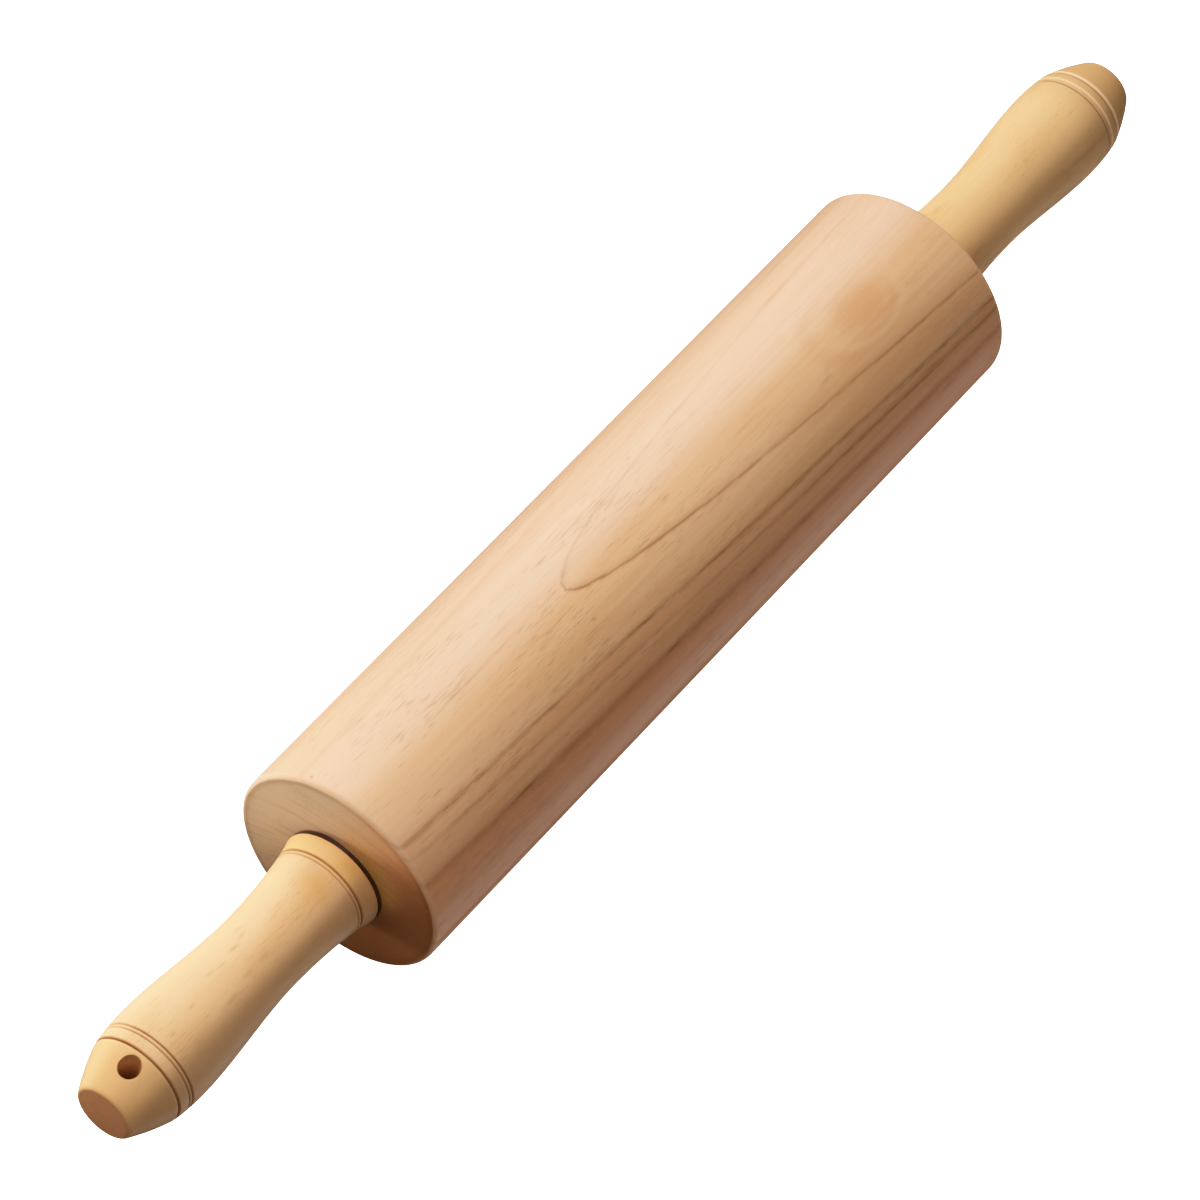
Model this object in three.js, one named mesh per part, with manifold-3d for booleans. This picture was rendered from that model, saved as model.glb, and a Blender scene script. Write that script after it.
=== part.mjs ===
// A wooden rolling pin with a revolving barrel. The barrel runs on two bushes round a steel rod,
// and the rod screws into a turned handle at each end. Millimetres, +Z up, the rod along X, and
// the origin at the middle of the barrel. The near end, with the hanging hole, points to -X.

import * as THREE from 'three';
import { mergeVertices } from 'three/addons/utils/BufferGeometryUtils.js';
import Module from 'manifold-3d';

// Barrel
const barrelLength = 240;
const barrelDiameter = 60;
const barrelEdgeRadius = 1.5;

// Rod through the barrel into both handles
const rodDiameter = 8;
const rodDepthInHandle = 42;
const rodChamfer = 0.8;
const rodToBarrel = 1;

// Flanged bushes, flush with the barrel's end faces
const bushLength = 22;
const bushWall = 4;
const flangeWidth = 2.5;
const flangeThickness = 3;
const bushChamfer = 0.6;

// Thrust washers in the gap between barrel and handle
const handleGap = 2;
const washerDiameter = 18;

// Threaded inserts in the handles' bases
const insertLength = 15;
const insertWall = 2;
const insertRecess = 0.2;

// Handle outline, measured from its base or back from its tip
const handleLength = 87.5;
const collarDiameter = 28.4;
const collarLength = 5.1;
const collarEdgeRadius = 0.8;
const neckDiameter = 26;
const waistDiameter = 22.8;
const waistFromBase = 28;
const bellyDiameter = 27.8;
const bellyFromTip = 22.3;
const shoulderDiameter = 26.3;
const tipDiameter = 15.8;
const tipCrown = 0.37;
const tipEdgeRadius = 0.9;

// Turned grooves: a pair behind the collar, a pair on the belly and one round the shoulder
const grooveWidth = 0.9;
const grooveDepth = 0.45;
const grooveRidge = 0.2;
const shoulderGrooveFromTip = 12.4;
const grooveBand = 3.35;

// Hanging hole across the near handle
const hangingHoleDiameter = 5.7;
const hangingHoleFromTip = 8.3;

// Clearances
const seatGap = 0.05;
const runningGap = 0.05;
const thrustPlay = 0.2;

// How finely the round pieces are faceted
const barrelSegments = 64;
const handleSegments = 36;
const fittingSegments = 32;
const holeSegments = 24;
const edgeSteps = 3;
const gripSteps = 14;
const tipSteps = 4;

// Sizes that follow from the ones above
const rodRadius = rodDiameter / 2;
const bushRadius = rodRadius + bushWall;
const flangeRadius = bushRadius + flangeWidth;
const insertRadius = rodRadius + insertWall;
const halfBarrel = barrelLength / 2;
const groovePitch = grooveWidth + grooveRidge;
const shoulderAt = handleLength - shoulderGrooveFromTip;
const bellyAt = handleLength - bellyFromTip;
const innerGrooveAt = shoulderAt - grooveBand;

const finishes = {
  barrelWood: { color: 0xe0b890, roughness: 0.55, metalness: 0 },
  handleWood: { color: 0xecc992, roughness: 0.5, metalness: 0 },
  steel: { color: 0xb9bcc0, roughness: 0.35, metalness: 1 },
  nylon: { color: 0xeae6da, roughness: 0.6, metalness: 0 },
  brass: { color: 0xc9a24c, roughness: 0.4, metalness: 1 },
};

const wasm = await Module();
wasm.setup();

// A hole that a faceted round piece of this radius fits in or turns in, clear by the gap
function holeRadius(radius, gap) {
  return radius / Math.cos(Math.PI / fittingSegments) + gap;
}

// A turned solid about Y from [radius, height] points, with flats square to X and Z
function turned(outline, segments) {
  const points = outline.map(([radius, height]) => new THREE.Vector2(radius, height));
  return new THREE.LatheGeometry(points, segments, Math.PI / segments);
}

// A ring of rectangular section between two heights
function ring(innerRadius, outerRadius, low, high) {
  return turned(
    [[innerRadius, low], [outerRadius, low], [outerRadius, high], [innerRadius, high], [innerRadius, low]],
    fittingSegments,
  );
}

// A rounded edge from one outline point to another, drawn towards their corner
function eased(start, corner, end) {
  const curve = new THREE.QuadraticBezierCurve(
    new THREE.Vector2(...start),
    new THREE.Vector2(...corner),
    new THREE.Vector2(...end),
  );
  return curve.getPoints(edgeSteps).map((point) => [point.x, point.y]);
}

function piece(name, geometry, finish) {
  const mesh = new THREE.Mesh(geometry, new THREE.MeshStandardMaterial(finishes[finish]));
  mesh.name = name;
  return mesh;
}

// The barrel: bored for the rod, with a stepped pocket at each end for a flanged bush
function barrelGeometry() {
  const radius = barrelDiameter / 2;
  const shoulder = radius - barrelEdgeRadius;
  const boreRadius = holeRadius(rodRadius, rodToBarrel);
  const pocketRadius = holeRadius(bushRadius, seatGap);
  const recessRadius = holeRadius(flangeRadius, seatGap);
  const pocketFloor = halfBarrel - bushLength - seatGap;
  const recessFloor = halfBarrel - flangeThickness - seatGap;
  const edgeLow = halfBarrel - barrelEdgeRadius;
  const outside = [
    [recessRadius, -halfBarrel],
    ...eased([shoulder, -halfBarrel], [radius, -halfBarrel], [radius, -edgeLow]),
    ...eased([radius, edgeLow], [radius, halfBarrel], [shoulder, halfBarrel]),
    [recessRadius, halfBarrel],
  ];
  const bore = [
    [recessRadius, recessFloor],
    [pocketRadius, recessFloor],
    [pocketRadius, pocketFloor],
    [boreRadius, pocketFloor],
  ];
  const boreBack = bore.map(([r, height]) => [r, -height]).reverse();
  return turned([...outside, ...bore, ...boreBack, outside[0]], barrelSegments);
}

function rodGeometry() {
  const end = halfBarrel + handleGap + rodDepthInHandle;
  const neck = rodRadius - rodChamfer;
  return turned(
    [[0, -end], [neck, -end], [rodRadius, rodChamfer - end], [rodRadius, end - rodChamfer], [neck, end], [0, end]],
    fittingSegments,
  );
}

// A bush from its flange face, at height 0, down into the barrel
function bushGeometry() {
  const boreRadius = holeRadius(rodRadius, runningGap);
  return turned(
    [
      [boreRadius, -bushLength],
      [bushRadius - bushChamfer, -bushLength],
      [bushRadius, bushChamfer - bushLength],
      [bushRadius, -flangeThickness],
      [flangeRadius, -flangeThickness],
      [flangeRadius, 0],
      [boreRadius, 0],
      [boreRadius, -bushLength],
    ],
    fittingSegments,
  );
}

// Radius of the handle's smooth outline at a height above its base
function handleRadius(height) {
  const { lerp, smoothstep } = THREE.MathUtils;
  if (height < collarLength) {
    return lerp(collarDiameter, neckDiameter, height / collarLength) / 2;
  }
  if (height < waistFromBase) {
    const fall = (waistFromBase - height) / (waistFromBase - collarLength);
    return lerp(waistDiameter, neckDiameter, fall * fall) / 2;
  }
  if (height < bellyAt) {
    return lerp(waistDiameter, bellyDiameter, smoothstep(height, waistFromBase, bellyAt)) / 2;
  }
  if (height < shoulderAt) {
    const drop = (height - bellyAt) / (shoulderAt - bellyAt);
    return lerp(bellyDiameter, shoulderDiameter, drop * drop) / 2;
  }
  const run = (height - shoulderAt) / (handleLength - shoulderAt);
  return lerp(shoulderDiameter, tipDiameter, run) / 2 + 4 * tipCrown * run * (1 - run);
}

// Outline points at even steps from one height to another, both ends left out
function stretch(from, to, steps) {
  const points = [];
  for (let step = 1; step < steps; step += 1) {
    const height = THREE.MathUtils.lerp(from, to, step / steps);
    points.push([handleRadius(height), height]);
  }
  return points;
}

// A V-shaped groove turned into the outline
function groove(at) {
  const low = at - grooveWidth / 2;
  const high = at + grooveWidth / 2;
  return [
    [handleRadius(low), low],
    [handleRadius(at) - grooveDepth, at],
    [handleRadius(high), high],
  ];
}

// A handle from its base, at height 0, to its tip, with a stepped bore for insert and rod
function handleGeometry() {
  const rodHole = holeRadius(rodRadius, seatGap);
  const insertHole = holeRadius(insertRadius, seatGap);
  const rodFloor = rodDepthInHandle + seatGap;
  const insertFloor = insertLength + seatGap;
  const collarRadius = collarDiameter / 2;
  const tipRadius = tipDiameter / 2;
  const tipEdgeAt = handleLength - tipEdgeRadius;
  const gripStart = collarLength + groovePitch + grooveWidth / 2;
  const gripEnd = innerGrooveAt - groovePitch - grooveWidth / 2;
  return turned(
    [
      [0, rodFloor],
      [rodHole, rodFloor],
      [rodHole, insertFloor],
      [insertHole, insertFloor],
      [insertHole, 0],
      ...eased([collarRadius - collarEdgeRadius, 0], [collarRadius, 0],
        [handleRadius(collarEdgeRadius), collarEdgeRadius]),
      ...groove(collarLength),
      ...groove(collarLength + groovePitch),
      ...stretch(gripStart, gripEnd, gripSteps),
      ...groove(innerGrooveAt - groovePitch),
      ...groove(innerGrooveAt),
      ...groove(shoulderAt),
      ...stretch(shoulderAt + grooveWidth / 2, tipEdgeAt, tipSteps),
      ...eased([handleRadius(tipEdgeAt), tipEdgeAt], [tipRadius, handleLength],
        [tipRadius - tipEdgeRadius, handleLength]),
      [0, handleLength],
    ],
    handleSegments,
  );
}

function toSolid(geometry) {
  const bare = geometry.clone();
  bare.deleteAttribute('normal');
  bare.deleteAttribute('uv');
  const merged = mergeVertices(bare);
  const corners = merged.index.array;
  const triangles = [];
  for (let i = 0; i < corners.length; i += 3) {
    const [a, b, c] = corners.slice(i, i + 3);
    if (a !== b && b !== c && c !== a) {
      triangles.push(a, b, c);
    }
  }
  const mesh = new wasm.Mesh({
    numProp: 3,
    vertProperties: merged.attributes.position.array,
    triVerts: new Uint32Array(triangles),
  });
  return new wasm.Manifold(mesh);
}

function toGeometry(solid) {
  const mesh = solid.getMesh();
  const geometry = new THREE.BufferGeometry();
  geometry.setAttribute('position', new THREE.BufferAttribute(mesh.vertProperties, 3));
  geometry.setIndex(new THREE.BufferAttribute(mesh.triVerts, 1));
  geometry.computeVertexNormals();
  return geometry;
}

// The near handle is drilled right across, square to its length
function drilledHandleGeometry() {
  const drillRadius = hangingHoleDiameter / 2;
  const drillLength = 2 * bellyDiameter;
  const drill = new THREE.CylinderGeometry(drillRadius, drillRadius, drillLength, holeSegments);
  drill.rotateX(Math.PI / 2);
  drill.translate(0, handleLength - hangingHoleFromTip, 0);
  return toGeometry(toSolid(handleGeometry()).subtract(toSolid(drill)));
}

// One end of the pin: its group's Y points outwards from the barrel's end face
function pinEnd(side, handle, direction) {
  const rodHole = holeRadius(rodRadius, seatGap);
  const end = new THREE.Group();
  end.rotation.z = -direction * Math.PI / 2;
  end.position.x = direction * halfBarrel;

  const bush = piece(`${side}_bush`, bushGeometry(), 'nylon');
  const washerThickness = handleGap - 2 * thrustPlay;
  const washer = piece(`${side}_washer`, ring(rodHole, washerDiameter / 2, 0, washerThickness), 'steel');
  washer.position.y = thrustPlay;
  const insert = piece(`${side}_insert`, ring(rodHole, insertRadius, insertRecess, insertLength), 'brass');
  insert.position.y = handleGap;
  handle.position.y = handleGap;
  end.add(bush, washer, insert, handle);
  return end;
}

const barrel = piece('barrel', barrelGeometry(), 'barrelWood');
const rod = piece('axle_rod', rodGeometry(), 'steel');
const core = new THREE.Group();
core.rotation.z = -Math.PI / 2;
core.add(barrel, rod);

const rollingPin = new THREE.Group();
rollingPin.add(
  core,
  pinEnd('near', piece('hanging_handle', drilledHandleGeometry(), 'handleWood'), -1),
  pinEnd('far', piece('plain_handle', handleGeometry(), 'handleWood'), 1),
);

export default rollingPin;
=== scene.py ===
from math import cos, pi, radians, sin, sqrt

import bmesh
import bpy
from mathutils import Matrix, Quaternion, Vector


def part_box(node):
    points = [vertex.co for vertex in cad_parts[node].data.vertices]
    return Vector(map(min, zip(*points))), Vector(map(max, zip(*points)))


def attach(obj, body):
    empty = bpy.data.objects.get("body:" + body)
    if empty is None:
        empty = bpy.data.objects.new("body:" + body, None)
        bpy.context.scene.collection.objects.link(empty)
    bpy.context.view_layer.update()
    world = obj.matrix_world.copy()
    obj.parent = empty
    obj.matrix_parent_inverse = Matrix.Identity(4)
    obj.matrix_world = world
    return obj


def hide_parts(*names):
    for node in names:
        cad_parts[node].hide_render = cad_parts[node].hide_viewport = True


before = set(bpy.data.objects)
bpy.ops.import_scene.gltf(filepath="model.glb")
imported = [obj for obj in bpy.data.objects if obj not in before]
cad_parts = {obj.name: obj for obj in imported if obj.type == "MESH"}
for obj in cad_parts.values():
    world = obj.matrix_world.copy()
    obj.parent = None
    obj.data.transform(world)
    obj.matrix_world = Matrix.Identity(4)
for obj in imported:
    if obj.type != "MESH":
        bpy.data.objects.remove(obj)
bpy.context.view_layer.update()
scene = bpy.context.scene
mm = 0.001
print("frame loaded:", ", ".join(sorted(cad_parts)))


# The camera, placed as the photograph was taken

photoCamera = {
    "aim": Vector((-9.83, 2.15, -5.53)) * mm,
    "distance": 1753.5 * mm,
    "azimuth": -65.0,            # degrees round the pin, 0 looks along +Y
    "elevation": 55.35,
    "roll": 14.66,
    "lens": 210.1,               # on a sensor 36 mm wide
    "reach": 50.0,               # metres
}


def placeCamera(shot):
    turn = radians(shot["azimuth"])
    lift = radians(shot["elevation"])
    back = Vector((sin(turn) * cos(lift), -cos(turn) * cos(lift), sin(lift)))
    level = (-back).to_track_quat("-Z", "Y")
    optics = bpy.data.cameras.new("photoCamera")
    optics.lens = shot["lens"]
    optics.clip_end = shot["reach"]
    camera = bpy.data.objects.new("photoCamera", optics)
    camera.location = shot["aim"] + back * shot["distance"]
    camera.rotation_mode = "QUATERNION"
    camera.rotation_quaternion = level @ Quaternion((0, 0, 1), radians(shot["roll"]))
    scene.collection.objects.link(camera)
    scene.camera = camera


placeCamera(photoCamera)
print("camera placed")


# Shader maths: a wire is one output socket, and an expression on wires adds Math nodes

class Wire:
    def __init__(self, tree, socket=None):
        self.tree = tree
        self.socket = socket

    def node(self, kind, settings=None, sockets=None, out=0):
        made = self.tree.nodes.new(kind)
        for name, value in (settings or {}).items():
            setattr(made, name, value)
        for name, value in (sockets or {}).items():
            if isinstance(value, Wire):
                self.tree.links.new(value.socket, made.inputs[name])
            else:
                made.inputs[name].default_value = value
        return Wire(self.tree, made.outputs[out] if made.outputs else None)

    def sibling(self, out):          # another output of the same node
        return Wire(self.tree, self.socket.node.outputs[out])

    def maths(self, operation, *values):
        return self.node("ShaderNodeMath", {"operation": operation}, dict(enumerate(values)))

    def __add__(self, other):
        return self.maths("ADD", self, other)

    def __sub__(self, other):
        return self.maths("SUBTRACT", self, other)

    def __rsub__(self, other):
        return self.maths("SUBTRACT", other, self)

    def __mul__(self, other):
        return self.maths("MULTIPLY", self, other)

    def __truediv__(self, other):
        return self.maths("DIVIDE", self, other)

    def __rtruediv__(self, other):
        return self.maths("DIVIDE", other, self)

    def __neg__(self):
        return self.maths("MULTIPLY", self, -1.0)

    def __abs__(self):
        return self.maths("ABSOLUTE", self)

    __radd__ = __add__
    __rmul__ = __mul__


def fade(value, low, high):          # 0 at low, 1 at high, eased between them
    settings = {"interpolation_type": "SMOOTHSTEP"}
    return value.node("ShaderNodeMapRange", settings, {"Value": value, "From Min": low, "From Max": high})


def limit(value):                    # held between 0 and 1
    return value.node("ShaderNodeClamp", None, {"Value": value})


def root(value):
    return value.maths("SQRT", value)


def total(wires):
    return sum(wires[1:], wires[0])


def bell(value):                     # 1 where the value is 0, falling away on both sides
    return value.maths("EXPONENT", -(value * value))


def stripe(value, line):             # a soft line with its place and width
    return bell((value - line["at"]) / line["width"])


def spot(along, around):             # an oval mark, 1 at its middle
    return along.maths("EXPONENT", -(along * along + around * around))


def mark(along, angle, radius, place):       # an oval mark at its place along the pin and round it
    at, degrees, halfLength, halfWidth, strength = place
    around = (angle - radians(degrees)) * radius / halfWidth
    return spot((along - at) / halfLength, around) * strength


def noise(x, y, z, detail=2.0, roughness=0.5):
    vector = x.node("ShaderNodeCombineXYZ", None, {"X": x, "Y": y, "Z": z})
    sockets = {"Vector": vector, "Scale": 1.0, "Detail": detail, "Roughness": roughness}
    return x.node("ShaderNodeTexNoise", None, sockets)


def drawn(point, length, width, detail=2.0, roughness=0.5):      # noise drawn out along the pin
    x, y, z = point
    return noise(x / length, y / width, z / width, detail, roughness)


def tint(amount, first, second):     # the first colour where the amount is 0, the second where it is 1
    return amount.node("ShaderNodeMix", {"data_type": "RGBA"}, {0: amount, 6: first, 7: second}, out=2)


def layer(amount, colour, coat):     # a coat over the colour, at its share of the amount
    return tint(amount * coat["share"], colour, coat["colour"])


def rgb(red, green, blue):
    return (red, green, blue, 1.0)


def newMaterial(name):
    material = bpy.data.materials.new(name)
    material.use_nodes = True
    material.node_tree.nodes.clear()
    return material, Wire(material.node_tree)


def closeMaterial(wire, sockets):
    shader = wire.node("ShaderNodeBsdfPrincipled", None, sockets)
    wire.node("ShaderNodeOutputMaterial", None, {"Surface": shader})


def places(wire):                    # the surface point in millimetres, fixed to its own piece
    point = wire.node("ShaderNodeTexCoord", out="Object")
    x = wire.node("ShaderNodeSeparateXYZ", None, {"Vector": point}, out="X")
    return x / mm, x.sibling("Y") / mm, x.sibling("Z") / mm


def fromAxis(point):                 # the distance from the pin's axis
    x, y, z = point
    return root(y * y + z * z)


def angleRound(point):               # the angle round the pin, from the top towards +Y
    x, y, z = point
    return y.maths("ARCTAN2", y, z)


def endFacing(wire, low=0.80, high=0.98):    # 1 where the surface is square to the pin's length
    facing = wire.node("ShaderNodeTexCoord", out="Normal")
    along = wire.node("ShaderNodeSeparateXYZ", None, {"Vector": facing}, out="X")
    return fade(abs(along), low, high)


def bump(height, relief):
    sockets = {"Height": height, "Distance": relief["depth"], "Strength": relief["strength"]}
    return height.node("ShaderNodeBump", None, sockets)


# Turning: a mesh swept round X from (along, radius) points, on a closed outline or from axis to axis

def joinRings(shape, first, second):         # a strip of faces, triangles at a single point
    sides = len(first)
    for step in range(sides):
        after = (step + 1) % sides
        corners = [first[step], first[after], second[after], second[step]]
        shape.faces.new(list(dict.fromkeys(corners)))


def addPiece(name, shape):
    bmesh.ops.recalc_face_normals(shape, faces=shape.faces)
    mesh = bpy.data.meshes.new(name)
    shape.to_mesh(mesh)
    shape.free()
    piece = bpy.data.objects.new(name, mesh)
    scene.collection.objects.link(piece)
    return piece


def turnPiece(name, outline, sides, closed=False):
    shape = bmesh.new()
    angles = [2 * pi * step / sides for step in range(sides)]
    rings = []
    for along, radius in outline:
        if radius == 0:
            rings.append([shape.verts.new((along, 0, 0))] * sides)
        else:
            rings.append([shape.verts.new((along, radius * sin(a), radius * cos(a))) for a in angles])
    following = rings[1:] + rings[:1] if closed else rings[1:]
    for first, second in zip(rings, following):
        joinRings(shape, first, second)
    return addPiece(name, shape)


def smoothPiece(piece, angle):               # smooth but for edges sharper than the angle
    piece.data.shade_smooth()
    piece.data.set_sharp_from_angle(angle=radians(angle))


def easedCorner(start, corner, end, steps):      # a curve from start to end, drawn towards the corner
    points = []
    for step in range(steps + 1):
        t = step / steps
        weights = ((1 - t) ** 2, 2 * t * (1 - t), t ** 2)
        points.append(tuple(sum(w * p[i] for w, p in zip(weights, (start, corner, end))) for i in (0, 1)))
    return points


def lerp(first, second, share):
    return first + (second - first) * share


# Barrel wood: growth rings round a heart line below the pin, measured off the photographed figure.
# Lengths are in millimetres, and a pair of numbers is where a mark begins and where it is full.

ringBrown = rgb(0.30, 0.115, 0.033)
poreBrown = rgb(0.36, 0.16, 0.065)
endBrown = rgb(0.25, 0.075, 0.02)
palestWood = rgb(0.75, 0.415, 0.215)

barrelWood = {
    "radius": 30.0,
    "sheen": 0.32,
    "heart": {
        "depth": 61.0,           # below the axis, at the middle of the barrel
        "side": -1.4,
        "rise": 0.0274,          # how fast the heart line drops away along x
        "waver": 0.35,           # how far the rings stray, in long waves and in short ones
        "shiver": 0.08,
    },

    # Noise drawn out along the barrel, and noise that follows the rings
    "grain": {
        "waver": {"length": 40.0, "width": 8.0},
        "shiver": {"length": 7.0, "width": 1.2},
        "fray": {"length": 4.0, "width": 1.5},
        "streak": {"length": 70.0, "width": 1.6, "detail": 4.0, "roughness": 0.6},
        "dash": {"length": 5.0, "width": 0.36, "detail": 1.0},
        "crowd": {"length": 30.0, "width": 8.0},
        "fibre": {"length": 2.2, "width": 0.16},
    },
    "layers": {
        "vary": {"length": 16.0, "ring": 2.0, "side": 9.0},
        "threads": {"length": 11.0, "ring": 0.24, "side": 40.0},
        "broad": {"length": 110.0, "ring": 3.5, "side": 30.0, "detail": 3.0},
    },

    "rings": {
        "colour": ringBrown,
        "upperSide": (-1.0, 7.0),        # y where a line goes from its low darkness to its high one
        "gaps": (0.30, 0.62),
        "gapDepth": 0.4,
        "threads": (0.54, 0.72),
        "threadReach": 2.2,
        "shade": {"reach": 2.8, "start": (-0.4, 0.2), "share": 0.28},
        "leastDark": 0.45,
        "fullRun": 30.0,                 # a line comes to its full darkness over this length
        # Each marked ring: its distance from the heart and how much less that is at the near end, its
        # width, how far it strays and how much it is split into threads, its darkness on the lower and
        # the upper side, the x where it is at its full darkness and the share of it before that
        "marked": [
            {"at": 90.0, "drop": 0.00, "width": 0.42, "fray": 0.5, "threads": 0.15,
             "low": 0.50, "high": 0.13, "full": 30, "before": 1.35},
            {"at": 85.6, "drop": 0.75, "width": 0.70, "fray": 0.7, "threads": 0.60,
             "low": 0.44, "high": 0.10, "full": -120, "before": 1.0},
            {"at": 83.5, "drop": 0.25, "width": 0.55, "fray": 0.7, "threads": 0.60,
             "low": 0.54, "high": 0.06, "full": 55, "before": 0.50},
            {"at": 79.3, "drop": 0.00, "width": 1.15, "fray": 1.0, "threads": 0.60,
             "low": 0.36, "high": 0.06, "full": -120, "before": 1.0},
        ],
    },
    "faintRings": {                      # on the rest of the round
        "pitch": 4.1,
        "within": (70.0, 66.0),          # of the heart line
        "width": 0.5,
        "shade": {"reach": 2.4, "start": (-0.3, 0.1), "share": 0.35},
        "dark": 0.3,
    },

    # Single dark flecks: x, degrees from the top towards +Y, half length, half width, darkness
    "flecks": [
        (-80.0, -54.5, 4.5, 0.45, 0.55),
        (-21.5, -59.5, 3.0, 0.50, 0.60),
        (11.0, -63.0, 2.0, 0.45, 0.50),
        (95.0, -72.5, 4.0, 0.60, 0.40),
        (-118.0, 26.7, 0.5, 0.45, 0.60),
        (61.0, -19.5, 2.2, 0.45, 0.30),
        (-36.5, -19.5, 0.6, 0.50, 0.40),
        (3.0, -3.5, 1.5, 0.35, 0.35),
        (27.5, 25.0, 6.0, 0.60, 0.16),
        (74.5, 33.5, 6.0, 0.60, 0.16),
        (41.5, 9.5, 6.0, 0.45, 0.16),
        (34.0, -7.0, 6.0, 0.45, 0.20),
        (100.0, -12.0, 4.0, 0.50, 0.16),
        (-74.0, 2.4, 10.0, 0.40, 0.24),
        (-76.0, 4.6, 7.0, 0.35, 0.18),
        (-55.5, 8.4, 4.0, 0.40, 0.16),
        (-50.8, -10.6, 3.5, 0.50, 0.22),
        (-97.5, 29.8, 3.0, 0.50, 0.16),
    ],

    # The oval figure near the far end, measured in its own half lengths and half widths
    "oval": {
        "x": 84.5,
        "angle": -6.0,
        "halfLength": 12.0,
        "halfWidth": 6.8,
        "waver": 0.8,
        "nearSide": {"tilt": 0.3, "reach": (1.2, -1.2)},
        "foot": {"tilt": 0.5, "reach": (-0.2, 1.0)},
        "middle": {"reach": (1.15, 0.45), "dark": 0.62},
        "core": {"along": 0.22, "around": -0.15, "dark": 0.35},
        "nearRing": {"at": 1.55, "width": 0.25, "dark": 0.35},
        "footLine": {"at": 1.02, "width": 0.12, "dark": 0.35},
        "footLight": {"at": 1.28, "width": 0.14},
        "coat": {"colour": rgb(0.60, 0.25, 0.10), "share": 0.60},
        "lightCoat": {"colour": palestWood, "share": 0.50},
    },

    # Coats of colour on the round side
    "light": palestWood,
    "plain": {"colour": rgb(0.70, 0.365, 0.168), "noise": (0.35, 0.68)},
    "warm": {"colour": rgb(0.65, 0.312, 0.13), "noise": (0.40, 0.70), "share": 0.65},
    # paler and pinker on the upper side: painted sheen where the light falls
    "crownSheen": {"colour": rgb(0.76, 0.43, 0.28), "y": (-5.0, 9.0), "share": 0.5},
    # darker, redder wood in the inner ring bands, kept to the lower side: ring colour and painted shade
    "dusk": {
        "colour": rgb(0.62, 0.19, 0.076),
        "y": (6.0, -2.0),
        "steps": [{"within": (86.4, 84.8), "share": 0.20}, {"within": (80.8, 78.6), "share": 0.25}],
    },
    # paler and pinker towards the near end: painted light
    "nearEnd": {"colour": rgb(0.88, 0.49, 0.275), "x": (-45.0, -125.0), "y": (-25.0, -14.0),
                "share": 0.40},
    # darker on the upper side towards the far end: painted shade that narrows the highlight there
    "farEndShade": {"colour": poreBrown, "x": (55.0, 118.0), "y": (-4.0, 8.0), "share": 0.13},
    "pores": {"colour": poreBrown, "noise": (0.60, 0.74), "crowding": 0.5, "x": (70.0, -20.0),
              "least": 0.35, "share": 0.36},
    "fibre": {"colour": ringBrown, "noise": (0.55, 0.8), "share": 0.10},

    # Coats on the end faces, where a lean is the direction across the face that a coat grows in
    "endGrain": {"colour": rgb(0.76, 0.29, 0.095), "share": 0.75},
    # pale and grey towards +Y and up: a painted reflection of the lit floor
    "endPaleReflection": {"colour": rgb(0.66, 0.47, 0.285), "lean": (0.9, 0.3), "reach": (-12.0, 18.0),
                "share": 0.9},
    # dark towards the lower right: painted shadow of the handle
    "endShadow": {"colour": endBrown, "lean": (-0.77, -0.64), "reach": (-1.0, 17.0), "share": 0.66},
    # golden beside the collar towards -Y: painted bounce light from the collar
    "endGoldBounce": {"colour": rgb(0.80, 0.42, 0.10), "out": (22.0, 15.0), "y": (4.0, -6.0),
                "under": (15.0, 8.0), "share": 0.7},
    "endArcs": {"ring": 0.9, "side": 25.0, "detail": 3.0, "noise": (0.50, 0.78), "dark": 0.30,
                "hides": 0.8},           # the lines of the round side
    "endRim": {"colour": endBrown, "at": 28.2, "width": 0.7, "share": 0.28},
    "edgeWear": {"colour": rgb(0.80, 0.47, 0.27), "x": (118.0, 119.4), "out": (28.6, 29.4), "share": 0.3},
    # painted contact shadow of the collar on the end face, reaching further out below and towards +Y
    "collarShadow": {"colour": rgb(0.06, 0.018, 0.008), "reach": (14.0, 13.2), "rise": 0.13,
                   "widens": 0.7, "widensY": (-1.0, 4.0), "share": 0.85},

    "rough": {"plain": 0.30, "pores": 0.2, "streak": 0.16, "ends": 0.1, "edge": 0.3},
    "relief": {"fibre": 0.35, "depth": 0.06 * mm, "strength": 0.5},
}


def followRings(point, distance, length, ring, side, detail=2.0):    # noise that keeps to the growth rings
    x, y, z = point
    return noise(x / length, distance / ring, y / side, detail)


def heartDepth(x, heart):
    return x * heart["rise"] + heart["depth"]


def heartDistance(point, waver, look):       # from the heart line, which strays with the grain
    x, y, z = point
    heart = look["heart"]
    across = y - heart["side"]
    above = z + heartDepth(x, heart)
    shiver = drawn(point, **look["grain"]["shiver"]) - 0.5
    return root(across * across + above * above) + waver * heart["waver"] + shiver * heart["shiver"]


def ringSlope(point, distance, ends, look):  # millimetres from ring to ring for each one on the surface
    x, y, z = point
    heart = look["heart"]
    turn = (z * heart["side"] + heartDepth(x, heart) * y) / (distance * look["radius"])
    slope = root(turn * turn + heart["rise"] ** 2)
    return slope + (1.0 - slope) * ends


def ringShade(apart, shade):                 # darker wood on one side of a line
    return fade(apart, shade["reach"], 0.0) * fade(apart, *shade["start"]) * shade["share"]


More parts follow.
